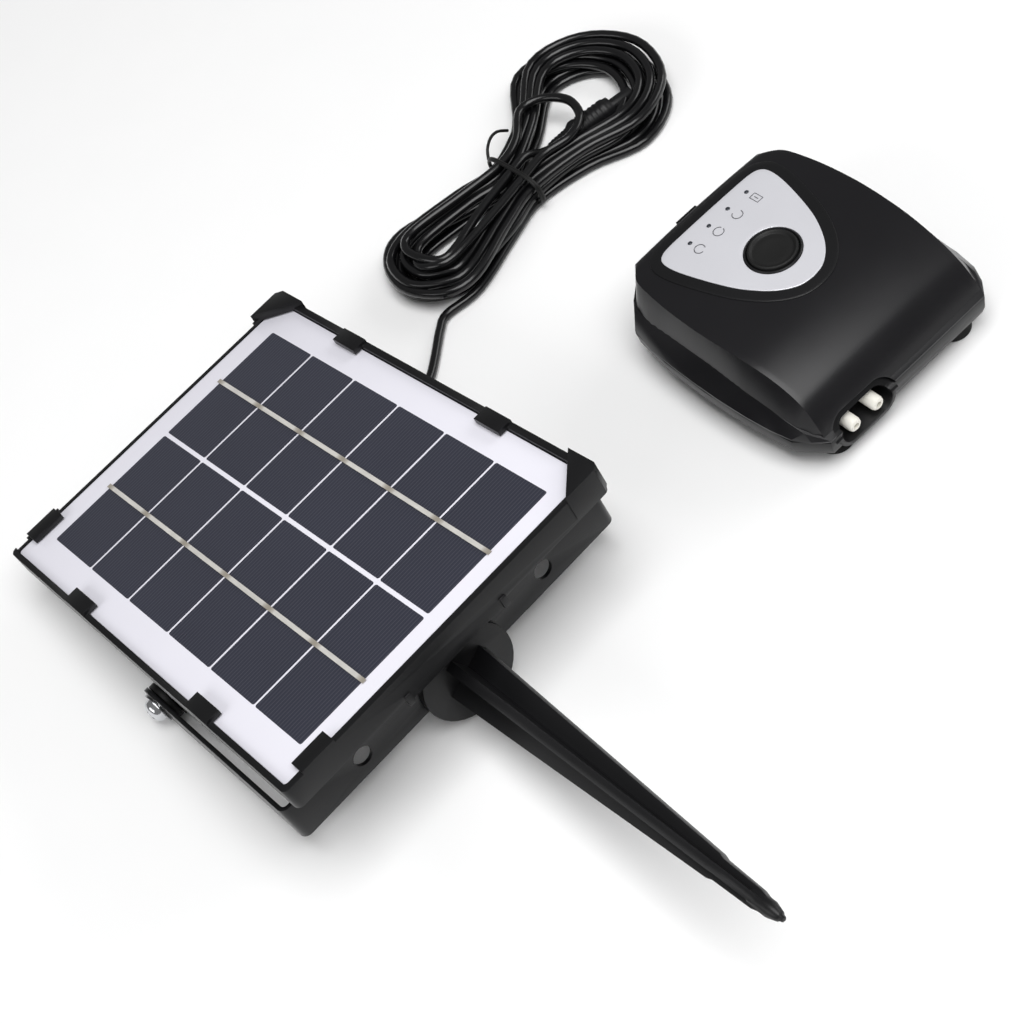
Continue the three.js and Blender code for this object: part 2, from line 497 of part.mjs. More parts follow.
// ---------------------------------------------------------------- inside the pump
const engineRod = (radius, from, to, segments = 20, [dy, dz] = [0, 0]) =>
  rod("x", [0, ENGINE.y + dy, ENGINE.z + dz], radius, from, to, segments);
const airHose = (y) => {
  const centre = [0, y, OUTLET.z];
  return cut(rod("x", centre, 3, 23, 32.6, 14), rod("x", centre, 2.25, 22, 34, 14));
};
const pumpMotor = () => turned([[0, -34], [3, -34], [3, -32.5], [10, -32.5], [10, -9], [3.4, -9], [3.4, -8],
  [1.4, -8], [1.4, -10], [0, -10]], "x", [0, ENGINE.y, ENGINE.z], 24);
const crankCase = () => cut(engineRod(ENGINE.radius, -8.6, 8, 24), engineRod(9.4, -6.8, 9, 24), engineRod(4, -9.5, -6, 16));
const driveEccentric = () =>
  union(engineRod(1, -9.6, -4.4, 12), engineRod(5.6, -6.2, -2.6), engineRod(1, -3, -0.6, 10, [0, 3.4]));
const rockerPlate = () => union(engineRod(8.4, 0.6, 2.8, 24), engineRod(2.4, 2, 3.8, 12));
const diaphragm = () => union(engineRod(9.1, 6.2, 7.7, 24),
  ...[-4.6, 4.6].map((dy) => engineRod(2.8, 4.4, 7, 12, [dy, 0])));
const valveHead = () => union(engineRod(ENGINE.radius, 8.3, 20, 24),
  ...outletPlaces.map((y) => rod("x", [0, y, OUTLET.z], 1.9, 19, 27.5, 14)));
const batteryCell = () => turned([[0, -33.5], [9.1, -33.5], [9.1, 30.4], [3.2, 30.4], [3.2, 31.5], [0, 31.5]], "x", [0, 22.5, 18], 24);
const controlBoard = () => prism(roundedRectangle(46, 40, 1.5, -16, 0), 28.9, 30.1);
const switchCap = () => block([BUTTON.x - 3, -3, 30.1 + GAP], [BUTTON.x + 3, 3, 31]);
const lampGuide = () => union(block([LAMP_X - 1.2, -15, 30.1 + GAP], [LAMP_X + 1.2, 15, 31.6]),
  ...lampPlaces.map((y) => rod("z", [LAMP_X, y, 0], 1, 31, 34.9, 10)));
const powerSocket = () => {
  const mouth = PUMP.back + 1.8;
  const profile = [[0, mouth - 0.6], [0.9, mouth - 0.6], [0.9, mouth + 3.6], [2.6, mouth + 3.6], [2.6, mouth],
    [3.1, mouth], [3.1, mouth + 5.2], [0, mouth + 5.2]];
  return turned(profile, "x", [0, SOCKET.y, SOCKET.z], 16);
};

// ---------------------------------------------------------------- the lead
// From the gland down to the floor, out past the panel and into the hank.
const LEAD_ROUTE = [[-28, 51.6, 21], [-28, 56, 20.8], [-28, 60.5, 18.6], [-27.6, 64.5, 14.4], [-27.2, 68, 9.4],
  [-27.4, 71.6, 5], [-28.6, 76, 2.6], [-31.4, 81, 1.9], [-35.4, 86.6, 1.9], [-40, 92.4, 1.9], [-44, 97.6, 1.9], [-47, 102, 2]];

const leadTube = () => {
  const path = new THREE.CatmullRomCurve3(LEAD_ROUTE.map((point) => new THREE.Vector3(...point)));
  const shape = new THREE.Shape();
  shape.absarc(0, 0, CORD / 2, 0, 2 * Math.PI, false);
  const options = { steps: 14, curveSegments: 4, extrudePath: path, bevelEnabled: false };
  return solidOf(new THREE.ExtrudeGeometry(shape, options));
};

// Outer shape of the tied hank, along Y, with the eye of its wide loop left open.
const HANK_HALF = [[102.6, 8], [104.4, 13], [110, 19], [119, 23], [130, 21], [146, 16.4], [162, 12.6], [176, 18], [188, 26],
  [200, 32], [212, 33], [224, 30], [235, 20], [241.4, 9]];
const hankOutline = () => {
  const right = HANK_HALF.map(([y, half]) => new THREE.Vector2(HANK.x + half, y));
  const left = [...HANK_HALF].reverse().map(([y, half]) => new THREE.Vector2(HANK.x - half, y));
  const shape = new THREE.Shape([...right, ...left]);
  const eye = new THREE.Path();
  eye.absellipse(HANK.x + 2, 202, 14.5, 25, 0, 2 * Math.PI, true);
  shape.holes.push(eye);
  return shape;
};
const hankSolid = () => {
  const groove = block([HANK.x - 40, HANK.waist - 2, -1], [HANK.x + 40, HANK.waist + 2, HANK.tieGroove]);
  return cut(prism(hankOutline(), HANK.bottom, HANK.top, 5), groove);
};
const hankTie = () => {
  const [w, y] = [13.6 + GAP, HANK.waist];
  const outer = block([HANK.x - w - 1, y - 1.2, 0.1], [HANK.x + w + 1, y + 1.2, HANK.top + GAP + 1]);
  return cut(outer, block([HANK.x - w, y - 3, 0.1 + 1], [HANK.x + w, y + 3, HANK.top + GAP]));
};

// Plug on the end of the lead, lying in the eye of the loop.
const PLUG = { x: -67, y: 182, z: 5.2, yaw: THREE.MathUtils.degToRad(-11.5) };
const leadPlug = () => turned([[0, 0], [2.6, 0], [3.2, 9], [4.6, 10], [4.9, 12], [4.9, 26], [4.4, 27], [4.4, 36], [3.6, 37],
  [3.6, 38.6], [0, 38.6]], "y", [0, 0, 0], 16).rotate([0, 0, THREE.MathUtils.radToDeg(PLUG.yaw)])
  .translate([PLUG.x, PLUG.y, PLUG.z]);

// ---------------------------------------------------------------- putting the kit together
const kit = new THREE.Group();

const panelUnit = new THREE.Group();
panelUnit.rotation.y = -PITCH;
place(panelUnit, "panel_frame", panelFrame(), BLACK_PLASTIC);
place(panelUnit, "rear_cover", rearCover(), BLACK_PLASTIC);
place(panelUnit, "solar_board", solarBoard(), BACKSHEET);
for (let strip = 0; strip < CELL_STRIPS; strip += 1) {
  for (let column = 0; column < CELL_COLUMNS; column += 1) {
    place(panelUnit, `solar_cell_${strip + 1}_${column + 1}`, solarCell(column, strip), SILICON);
  }
  place(panelUnit, `busbar_ribbon_${strip + 1}`, ribbon(strip), TINNED);
}
place(panelUnit, "junction_box", junctionBox(), BLACK_PLASTIC);
place(panelUnit, "junction_lid", junctionLid(), BLACK_PLASTIC);
place(panelUnit, "cord_gland", cordGland(), RUBBER);
place(panelUnit, "bracket", bracket(), BLACK_STEEL);
for (const [side, sign] of SIDES) {
  place(panelUnit, `pivot_screw_${side}`, pivotScrew(sign), BRIGHT_STEEL);
  place(panelUnit, `pivot_washer_${side}`, pivotWasher(sign), RUBBER);
  place(panelUnit, `pivot_nut_${side}`, pivotNut(sign), BRIGHT_STEEL);
}

const stakeUnit = new THREE.Group();
stakeUnit.position.set(STAKE_BACK, STAKE.y, STAKE.z);
stakeUnit.rotation.z = STAKE_LEAN;
place(stakeUnit, "ground_stake", groundStake(), BLACK_PLASTIC);
place(stakeUnit, "stake_screw", stakeScrew(), BRIGHT_STEEL);
panelUnit.add(stakeUnit);
kit.add(panelUnit);

// The unit stands on the stake's head and on the two ends of the bracket.
panelUnit.updateMatrixWorld(true);
panelUnit.position.z = -new THREE.Box3().setFromObject(panelUnit, true).min.z;

const pumpUnit = new THREE.Group();
pumpUnit.position.set(PUMP_PLACE.x, PUMP_PLACE.y, 0);
pumpUnit.rotation.z = PUMP_PLACE.yaw;
place(pumpUnit, "pump_upper_housing", upperHousing(), SATIN_BLACK);
place(pumpUnit, "pump_lower_housing", lowerHousing(), BLACK_PLASTIC);
place(pumpUnit, "control_label", labelPlate(), SILVER_FILM);
place(pumpUnit, "power_button", powerButton(), RUBBER);
FEET.forEach((spot, i) => place(pumpUnit, `suction_foot_${i + 1}`, suctionFoot(spot), RUBBER));
POSTS.forEach((spot, i) => place(pumpUnit, `housing_screw_${i + 1}`, housingScrew(spot), BRIGHT_STEEL));
place(pumpUnit, "outlet_nozzles", outletNozzles(), IVORY);
outletPlaces.forEach((y, i) => place(pumpUnit, `air_hose_${i + 1}`, airHose(y), CLEAR_HOSE));
place(pumpUnit, "lamp_guide", lampGuide(), LAMP);
place(pumpUnit, "pump_motor", pumpMotor(), BRIGHT_STEEL);
place(pumpUnit, "crank_case", crankCase(), BLACK_PLASTIC);
place(pumpUnit, "drive_eccentric", driveEccentric(), BRIGHT_STEEL);
place(pumpUnit, "rocker_plate", rockerPlate(), IVORY);
place(pumpUnit, "diaphragm", diaphragm(), RUBBER);
place(pumpUnit, "valve_head", valveHead(), BLACK_PLASTIC);
place(pumpUnit, "battery_cell", batteryCell(), CELL_WRAP);
place(pumpUnit, "control_board", controlBoard(), GREEN_BOARD);
place(pumpUnit, "switch_cap", switchCap(), BLACK_PLASTIC);
place(pumpUnit, "power_socket", powerSocket(), BLACK_PLASTIC);
kit.add(pumpUnit);

place(kit, "lead_tube", leadTube(), PVC);
place(kit, "lead_hank", hankSolid(), PVC);
place(kit, "hank_tie", hankTie(), PVC);
place(kit, "lead_plug", leadPlug(), BLACK_PLASTIC);

kit.position.set(KIT_SHIFT[0], KIT_SHIFT[1], 0);

export default kit;
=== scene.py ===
# %% [markdown]
# A solar air-pump kit, made around its engineering frame. The frame has every piece at its true
# size and place, in metres. Here each visible piece gets its edges, its finish and, where the
# frame holds a plain block, its real shape.

# %% Load the frame
import math
import bmesh
import bpy
from mathutils import Matrix, Vector


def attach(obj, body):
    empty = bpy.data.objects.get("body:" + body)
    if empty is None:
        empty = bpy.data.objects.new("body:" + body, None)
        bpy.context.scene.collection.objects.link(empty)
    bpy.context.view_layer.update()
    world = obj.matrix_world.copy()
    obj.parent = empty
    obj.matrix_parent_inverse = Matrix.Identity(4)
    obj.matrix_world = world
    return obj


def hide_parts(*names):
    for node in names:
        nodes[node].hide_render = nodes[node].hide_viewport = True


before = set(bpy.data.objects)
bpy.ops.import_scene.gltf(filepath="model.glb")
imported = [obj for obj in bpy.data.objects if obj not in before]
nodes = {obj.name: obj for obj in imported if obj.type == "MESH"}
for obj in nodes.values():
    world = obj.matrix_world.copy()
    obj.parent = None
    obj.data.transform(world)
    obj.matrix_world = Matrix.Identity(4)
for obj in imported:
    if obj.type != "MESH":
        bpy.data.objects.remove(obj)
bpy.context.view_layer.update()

# %% [markdown]
# These two matrices put them in place. The numbers are the same ones the solids were made with.

# %% Places of the panel and the pump
MM = 0.001
SHIFT = Vector((-66.35, -70.94, 0.0))
PANEL_HEIGHT = 38.38
PANEL_LEAN = math.radians(9.22)
PUMP_SPOT = Vector((71.8, 170.2, 0))
PUMP_YAW = math.radians(-3.65)
PANEL_PLACE = (Matrix.Scale(MM, 4) @ Matrix.Translation(SHIFT + Vector((0, 0, PANEL_HEIGHT)))
               @ Matrix.Rotation(-PANEL_LEAN, 4, "Y"))
PUMP_PLACE = (Matrix.Scale(MM, 4) @ Matrix.Translation(SHIFT + PUMP_SPOT)
              @ Matrix.Rotation(PUMP_YAW, 4, "Z"))
KIT_PLACE = Matrix.Scale(MM, 4) @ Matrix.Translation(SHIFT)
print("middle of the cells:", tuple(round(v, 4) for v in PANEL_PLACE @ Vector((0, 0, 0))))


def deselect():
    if bpy.context.object and bpy.context.object.mode != "OBJECT":
        bpy.ops.object.mode_set(mode="OBJECT")
    bpy.ops.object.select_all(action="DESELECT")


def pick(piece):
    deselect()
    bpy.context.view_layer.objects.active = piece
    piece.select_set(True)


def edit(piece, *steps):
    """Selects everything in one piece and runs edit-mode steps on it."""
    pick(piece)
    bpy.ops.object.mode_set(mode="EDIT")
    bpy.ops.mesh.select_all(action="SELECT")
    for step, settings in steps:
        step(**settings)
    bpy.ops.object.mode_set(mode="OBJECT")


def modify(piece, name, kind, **settings):
    """Adds one modifier to the active piece and applies it."""
    modifier = piece.modifiers.new(name, kind)
    for key, value in settings.items():
        setattr(modifier, key, value)
    bpy.ops.object.modifier_apply(modifier=modifier.name)


def round_edges(piece, width, segments, angle):
    modify(piece, "edges", "BEVEL", width=width, segments=segments, limit_method="ANGLE",
           angle_limit=math.radians(angle))


# %% Camera
camera_data = bpy.data.cameras.new("camera")
camera_data.lens = 70.3125
camera_data.sensor_width = 36.0
camera = bpy.data.objects.new("camera", camera_data)
bpy.context.scene.collection.objects.link(camera)
CAMERA_RIGHT = Vector((0.6659, 0.6816, -0.3034)).normalized()
CAMERA_BACK = Vector((0.5856, -0.2254, 0.7787)).normalized()
CAMERA_UP = CAMERA_BACK.cross(CAMERA_RIGHT).normalized()
turn = Matrix((CAMERA_RIGHT, CAMERA_UP, CAMERA_BACK)).transposed().to_4x4()
camera.matrix_world = Matrix.Translation(Vector((0.36625, -0.16684, 0.5268))) @ turn
bpy.context.scene.camera = camera
print("camera height:", round(camera.location.z, 3))

# %% [markdown]
# The lead is one soft round two-core cable, 3.6 mm thick. It leaves the gland behind the panel,
# drops to the floor, runs out past the frame and is wound into a hank of nine turns. The turns lie
# in three layers, three side by side in each, so no two of them share a place. A tenth, short
# turn lies on top, and the last run goes through the waist to the plug. The whole lead is one
# curve through these points.

# %% Route of the lead
CORD = 3.6
HANK_X = -66.0
LEAD_ROUTE = [(-28, 51.6, 21), (-28, 56, 20.8), (-28, 60.5, 18.6), (-27.6, 64.5, 14.4),
              (-27.2, 68, 9.4), (-27.4, 71.6, 5), (-28.6, 76, 2.6), (-31.4, 81, 1.9),
              (-35.4, 86.6, 1.9), (-40, 92.4, 1.9), (-44, 97.6, 1.9), (-47, 104, 1.9)]
# Each size of turn: half width at the near fold, at the waist and at the far fold, and both ends.
# Each layer of turns: its height, and how far its near and far folds are shifted and reach out.
TURN_SIZES = [
    {"near": 20.0, "waist": 10.4, "far": 30.5, "start": 104.0, "end": 238.8},
    {"near": 15.4, "waist": 6.6, "far": 26.4, "start": 109.4, "end": 234.4},
    {"near": 11.0, "waist": 2.8, "far": 22.3, "start": 114.8, "end": 230.0},
    {"near": 12.0, "waist": 6.6, "far": 14.0, "start": 112.0, "end": 200.0},
]
LAYER_HEIGHTS = [1.9, 5.5, 9.1, 12.7]
LAYER_NEAR_SHIFT = [1.0, -3.4, 1.8, -1.0]
LAYER_NEAR_REACH = [-3.0, -2.0, -3.0, -2.0]
LAYER_FAR_SHIFT = [-4.0, -11.0, -7.6, -6.0]
LAYER_FAR_REACH = [-3.0, -6.0, 0.0, 0.0]
WAIST_Y = 162.0
TURNS = [(0, 0), (1, 0), (2, 0), (2, 1), (1, 1), (0, 1), (0, 2), (1, 2), (2, 2), (3, 3)]


def leg(size, layer, side):
    """One side of a turn from the near fold to the far fold, at its layer's height."""
    s = TURN_SIZES[size]
    near_x = HANK_X + LAYER_NEAR_SHIFT[layer]
    far_x = HANK_X + LAYER_FAR_SHIFT[layer]
    z = LAYER_HEIGHTS[layer]
    start, end = s["start"] + LAYER_NEAR_REACH[layer], s["end"] + LAYER_FAR_REACH[layer]
    low, high = start + s["near"] * 0.95, end - s["far"] * 0.98
    lean = (far_x - HANK_X) * 0.42
    wide = 0.72 if size < 3 else 0.6
    return [
        (near_x + side * s["near"] * 0.74, start + s["near"] * 0.3, z),
        (near_x + side * s["near"], low, z),
        (HANK_X + side * (s["near"] * 0.42 + s["waist"] * 0.58), (low + WAIST_Y) / 2 + 3, z),
        (HANK_X + side * s["waist"], WAIST_Y, z),
        (HANK_X + lean + side * (s["far"] * wide * 0.62 + s["waist"] * 0.38),
         WAIST_Y + (high - WAIST_Y) * 0.52, z),
        (far_x + side * s["far"], high, z),
        (far_x + side * s["far"] * 0.74, end - s["far"] * 0.3, z),
    ], (far_x, end, z)


def hank_route():
    points = []
    for order, (size, layer) in enumerate(TURNS):
        if order:
            last_size, last_layer = TURNS[order - 1]
            start = (TURN_SIZES[size]["start"] + TURN_SIZES[last_size]["start"]) / 2
            start += (LAYER_NEAR_REACH[layer] + LAYER_NEAR_REACH[last_layer]) / 2
            x = HANK_X + (LAYER_NEAR_SHIFT[layer] + LAYER_NEAR_SHIFT[last_layer]) / 2
            z = (LAYER_HEIGHTS[layer] + LAYER_HEIGHTS[last_layer]) / 2
            points.append((x, start, z))
        right, top = leg(size, layer, 1)
        left, _ = leg(size, layer, -1)
        points += right if order else right[1:]
        points.append(top)
        points += reversed(left)
    x, z = HANK_X - 1.0, 12.9
    points += [(x, 113, z), (x + 8.6, 116.5, z), (x + 9.5, 124, z), (x + 5, 140, z), (x + 1.2, 162, z),
               (x - 0.6, 171, 11.6), (x - 0.6, 177, 7.4), (-67.6, 181.4, 5.3)]
    return points


def smooth_run(points, steps):
    """Points of a smooth curve through the given ones."""
    run = []
    padded = [points[0], *points, points[-1]]
    for a, b, c, d in zip(padded, padded[1:], padded[2:], padded[3:]):
        a, b, c, d = Vector(a), Vector(b), Vector(c), Vector(d)
        for step in range(steps):
            t = step / steps
            run.append(0.5 * ((2 * b) + (c - a) * t + (2 * a - 5 * b + 4 * c - d) * t * t
                              + (3 * b - a - 3 * c + d) * t ** 3))
    run.append(Vector(points[-1]))
    return run


def curve_piece(name, points, radius, sides=3):
    data = bpy.data.curves.new(name, "CURVE")
    data.dimensions = "3D"
    spline = data.splines.new("POLY")
    spline.points.add(len(points) - 1)
    for place, point in zip(spline.points, points):
        place.co = (*point, 1)
    data.bevel_depth = radius
    data.bevel_resolution = sides
    data.use_fill_caps = True
    piece = bpy.data.objects.new(name, data)
    bpy.context.scene.collection.objects.link(piece)
    return piece


lead_points = [KIT_PLACE @ p for p in smooth_run(LEAD_ROUTE + hank_route(), 5)]
lead = curve_piece("lead", lead_points, CORD / 2 * MM)

# %% [markdown]
# Finishes. Every one starts from the same small recipe: a base colour that drifts a little, a
# roughness that drifts a little, and a fine bump for the grain of the mould or the metal. The
# patterns read Object coordinates, so they stay still on the piece at true scale.


# %% Recipe for a finish
def finish(name, color, rough, metal=0.0, coat=0.0, shine=0.5, drift=0.12, grain=900.0, bump=0.05,
           blotch=40.0, stretch=None):
    """blotch and grain set how fine the drift of the colour and the bump are; more is finer."""
    material = bpy.data.materials.new(name)
    material.use_nodes = True
    tree = material.node_tree
    shader = tree.nodes["Principled BSDF"]
    shader.inputs["Metallic"].default_value = metal
    shader.inputs["Specular IOR Level"].default_value = shine
    shader.inputs["Coat Weight"].default_value = coat
    shader.inputs["Coat Roughness"].default_value = 0.08
    coords = tree.nodes.new("ShaderNodeTexCoord")
    source = coords.outputs["Object"]
    if stretch:
        mapping = tree.nodes.new("ShaderNodeMapping")
        mapping.inputs["Scale"].default_value = stretch
        tree.links.new(source, mapping.inputs["Vector"])
        source = mapping.outputs["Vector"]
    cloud = tree.nodes.new("ShaderNodeTexNoise")
    cloud.inputs["Scale"].default_value = blotch
    cloud.inputs["Detail"].default_value = 4.0
    tree.links.new(source, cloud.inputs["Vector"])
    tint = tree.nodes.new("ShaderNodeValToRGB")
    tint.color_ramp.elements[0].color = (*[c * (1 - drift) for c in color], 1)
    tint.color_ramp.elements[1].color = (*[min(1, c * (1 + drift)) for c in color], 1)
    tree.links.new(cloud.outputs["Fac"], tint.inputs["Fac"])
    tree.links.new(tint.outputs["Color"], shader.inputs["Base Color"])
    worn = tree.nodes.new("ShaderNodeMapRange")
    worn.inputs["To Min"].default_value = max(0.02, rough - 0.06)
    worn.inputs["To Max"].default_value = rough + 0.06
    tree.links.new(cloud.outputs["Fac"], worn.inputs["Value"])
    tree.links.new(worn.outputs["Result"], shader.inputs["Roughness"])
    fine = tree.nodes.new("ShaderNodeTexNoise")
    fine.inputs["Scale"].default_value = grain
    fine.inputs["Detail"].default_value = 3.0
    tree.links.new(source, fine.inputs["Vector"])
    relief = tree.nodes.new("ShaderNodeBump")
    relief.inputs["Strength"].default_value = bump
    relief.inputs["Distance"].default_value = 0.0002
    tree.links.new(fine.outputs["Fac"], relief.inputs["Height"])
    tree.links.new(relief.outputs["Normal"], shader.inputs["Normal"])
    return material


BLACK_PLASTIC = finish("moulded black plastic", (0.0055, 0.0055, 0.0062), 0.36, shine=0.3, bump=0.08,
                       grain=1400)
SATIN_SHELL = finish("satin black shell", (0.0065, 0.0062, 0.0075), 0.3, shine=0.36, bump=0.05,
                     grain=1900, drift=0.06)
BLACK_STEEL = finish("powder-coated steel", (0.0055, 0.0055, 0.0065), 0.3, shine=0.34, bump=0.15,
                     grain=1600)
BRIGHT_STEEL = finish("bright plated steel", (0.62, 0.63, 0.65), 0.16, metal=1.0, drift=0.05,
                      bump=0.02)
BACKSHEET = finish("white laminate", (0.8, 0.79, 0.86), 0.3, coat=0.6, drift=0.02, bump=0.03,
                   grain=500)
RUBBER = finish("black rubber", (0.006, 0.006, 0.006), 0.5, shine=0.3, bump=0.15, grain=1100)
SILVER_FILM = finish("silver film", (0.7, 0.7, 0.74), 0.34, metal=0.25, coat=0.3, drift=0.03,
                     grain=2600, bump=0.05)
IVORY = finish("ivory plastic", (0.83, 0.81, 0.74), 0.38, drift=0.03, bump=0.05)
CORD_JACKET = finish("cord jacket", (0.004, 0.004, 0.0045), 0.22, shine=0.42, bump=0.04, grain=700)
BOARD_GREEN = finish("green solder mask", (0.02, 0.13, 0.06), 0.35, bump=0.1)
CELL_WRAP = finish("blue shrink wrap", (0.03, 0.16, 0.42), 0.3, bump=0.05)
CLEAR_HOSE = finish("milky hose", (0.72, 0.75, 0.75), 0.3, bump=0.04)
SMOKED_LENS = finish("smoked lens", (0.03, 0.034, 0.042), 0.15, bump=0.02)
PRINT = finish("grey print", (0.09, 0.09, 0.1), 0.5, drift=0.05)
print("finishes so far:", len(bpy.data.materials))

# %% [markdown]
# The silicon is dark blue-grey with hair-thin silver fingers across the strip, 1.3 mm apart. The
# tinned ribbon was soldered on by hand, so its pale tin has a tan patch of flux at every gap
# between two cells. Both are bands of a wave pattern that leans with the panel.


# %% Silicon and ribbon
def bands_on(material, spacing, start, amount, color, phase=0.0):
    """Mixes a colour in along narrow bands across the panel, one every spacing metres."""
    tree = material.node_tree
    shader = tree.nodes["Principled BSDF"]
    coords = tree.nodes.new("ShaderNodeTexCoord")
    level = tree.nodes.new("ShaderNodeMapping")
    level.inputs["Rotation"].default_value = (0, PANEL_LEAN, 0)
    tree.links.new(coords.outputs["Object"], level.inputs["Vector"])
    wave = tree.nodes.new("ShaderNodeTexWave")
    wave.wave_profile = "SIN"
    wave.bands_direction = "X"
    wave.inputs["Scale"].default_value = math.pi / 10 / spacing
    wave.inputs["Distortion"].default_value = 0.0
    wave.inputs["Phase Offset"].default_value = phase
    tree.links.new(level.outputs["Vector"], wave.inputs["Vector"])
    sharp = tree.nodes.new("ShaderNodeValToRGB")
    sharp.color_ramp.elements[0].position = start
    sharp.color_ramp.elements[0].color = (0, 0, 0, 1)
    sharp.color_ramp.elements[1].position = 1.0
    sharp.color_ramp.elements[1].color = (amount, amount, amount, 1)
    tree.links.new(wave.outputs["Fac"], sharp.inputs["Fac"])
    mix = tree.nodes.new("ShaderNodeMix")
    mix.data_type = "RGBA"
    mix.inputs["B"].default_value = (*color, 1)
    base = shader.inputs["Base Color"].links[0].from_socket
    tree.links.new(sharp.outputs["Color"], mix.inputs["Factor"])
    tree.links.new(base, mix.inputs["A"])
    tree.links.new(mix.outputs["Result"], shader.inputs["Base Color"])


FINGER_PITCH = 1.3 * MM
CELL_PITCH = 26.8 * MM
SILICON = finish("silicon", (0.021, 0.0225, 0.038), 0.3, coat=0.5, drift=0.14, blotch=26,
                 bump=0.03, grain=400)
bands_on(SILICON, FINGER_PITCH, 0.86, 0.16, (0.33, 0.34, 0.38))
RIBBON = finish("tinned ribbon", (0.72, 0.7, 0.66), 0.32, metal=0.3, drift=0.22, blotch=420,
                bump=0.6, grain=800, stretch=(0.35, 1.2, 1))
MIDDLE = Matrix.Rotation(PANEL_LEAN, 4, "Y") @ (PANEL_PLACE @ Vector((0, 0, 0)))
bands_on(RIBBON, CELL_PITCH, 0.84, 0.8, (0.3, 0.26, 0.2),
         math.pi - 2 * math.pi * MIDDLE.x / CELL_PITCH)
print("silicon nodes:", len(SILICON.node_tree.nodes))

# %% [markdown]
# To soften a piece, a copy of its solid has its doubled corners merged and its flat faces joined,
# and a bevel rounds every real edge. A rounded edge is what catches the light. The white board's
# top is also brought up between the cells, where the clear resin over it fills the gaps.


# %% Soften a solid
def softened(node, width, material, body, slot):
    source = nodes[node]
    piece = bpy.data.objects.new(node + "_look", source.data.copy())
    bpy.context.scene.collection.objects.link(piece)
    piece.data.materials.clear()
    edit(piece, (bpy.ops.mesh.remove_doubles, {"threshold": 0.00001}),
         (bpy.ops.mesh.dissolve_limited, {"angle_limit": math.radians(1.2)}))
    round_edges(piece, width * MM, 2, 32)
    bpy.ops.object.shade_smooth_by_angle(angle=math.radians(38))
    return finished(piece, material, body, slot, node)


def finished(piece, material, body, slot, *replaced):
    if not piece.data.materials:
        piece.data.materials.append(material)
    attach(piece, body)
    if replaced:
        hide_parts(*replaced)
    return piece


SOFTENED = [
    ("panel_frame", 0.5, BLACK_PLASTIC, "panel", "black_plastic"),
    ("rear_cover", 0.6, BLACK_PLASTIC, "panel", "black_plastic"),
    ("solar_board", 0.2, BACKSHEET, "panel", "backsheet"),
    ("junction_box", 0.5, BLACK_PLASTIC, "panel", "black_plastic"),
    ("junction_lid", 0.4, BLACK_PLASTIC, "panel", "black_plastic"),
    ("cord_gland", 0.3, RUBBER, "panel", "rubber"),
    ("pivot_washer_left", 0.3, RUBBER, "panel", "rubber"),
    ("pivot_washer_right", 0.3, RUBBER, "panel", "rubber"),
    ("pivot_nut_left", 0.3, BRIGHT_STEEL, "panel", "bright_steel"),
    ("pivot_nut_right", 0.3, BRIGHT_STEEL, "panel", "bright_steel"),
    ("bracket", 0.35, BLACK_STEEL, "yoke", "black_steel"),
    ("ground_stake", 0.5, BLACK_PLASTIC, "stake", "black_plastic"),
    ("stake_screw", 0.2, BRIGHT_STEEL, "stake", "bright_steel"),
    ("pump_lower_housing", 0.4, BLACK_PLASTIC, "pump", "black_plastic"),
    ("outlet_nozzles", 0.3, IVORY, "pump", "ivory_plastic"),
    ("power_socket", 0.2, BLACK_PLASTIC, "pump", "black_plastic"),
]
RESIN_TOP_OVER, RESIN_RISE = -1.6, 0.55
for node, width, material, body, slot in SOFTENED:
    piece = softened(node, width, material, body, slot)
    print(node, len(piece.data.polygons), "faces")
    if node == "solar_board":
        for vertex in piece.data.vertices:
            spot = PANEL_PLACE.inverted() @ vertex.co
            spot.z += RESIN_RISE if spot.z > RESIN_TOP_OVER else 0
            vertex.co = PANEL_PLACE @ spot

# %% [markdown]
# The pieces that keep their solids as they are only need their finish: the cells and their
# ribbons, and everything inside the pump.

# %% Finishes on the frame's own pieces
KEPT = {
    "battery_cell": CELL_WRAP, "control_board": BOARD_GREEN, "pump_motor": BRIGHT_STEEL,
    "crank_case": BLACK_PLASTIC, "drive_eccentric": BRIGHT_STEEL, "rocker_plate": IVORY,
    "diaphragm": RUBBER, "valve_head": BLACK_PLASTIC, "switch_cap": BLACK_PLASTIC,
    "air_hose_1": CLEAR_HOSE, "air_hose_2": CLEAR_HOSE, "lamp_guide": SMOKED_LENS,
}
KEPT_FAMILIES = {"solar_cell": SILICON, "busbar_ribbon": RIBBON, "housing_screw": BRIGHT_STEEL}
kept_count = 0
for name, node in nodes.items():
    material = KEPT.get(name)
    for family, family_material in KEPT_FAMILIES.items():
        material = family_material if name.startswith(family) else material
    if material:
        node.data.materials.clear()
        node.data.materials.append(material)
        kept_count += 1
print("kept solids with a finish:", kept_count)

# %% [markdown]
# The pump's hood is one soft sheet: it rises from the back, runs almost level over the top and
# rolls down the front. A grid is laid over it. Each row of the grid is one station along this
# path, and each column is one place across the width, crowned a little in the middle. The two
# long sides are then extruded down to the seam, leaning out so that they pass through the crease
# where the flare begins, and the sheet gets its wall.

# %% The hood
SEAM_Z = 14.4
CROWN = 0.9
HOOD_WALL = 2.0
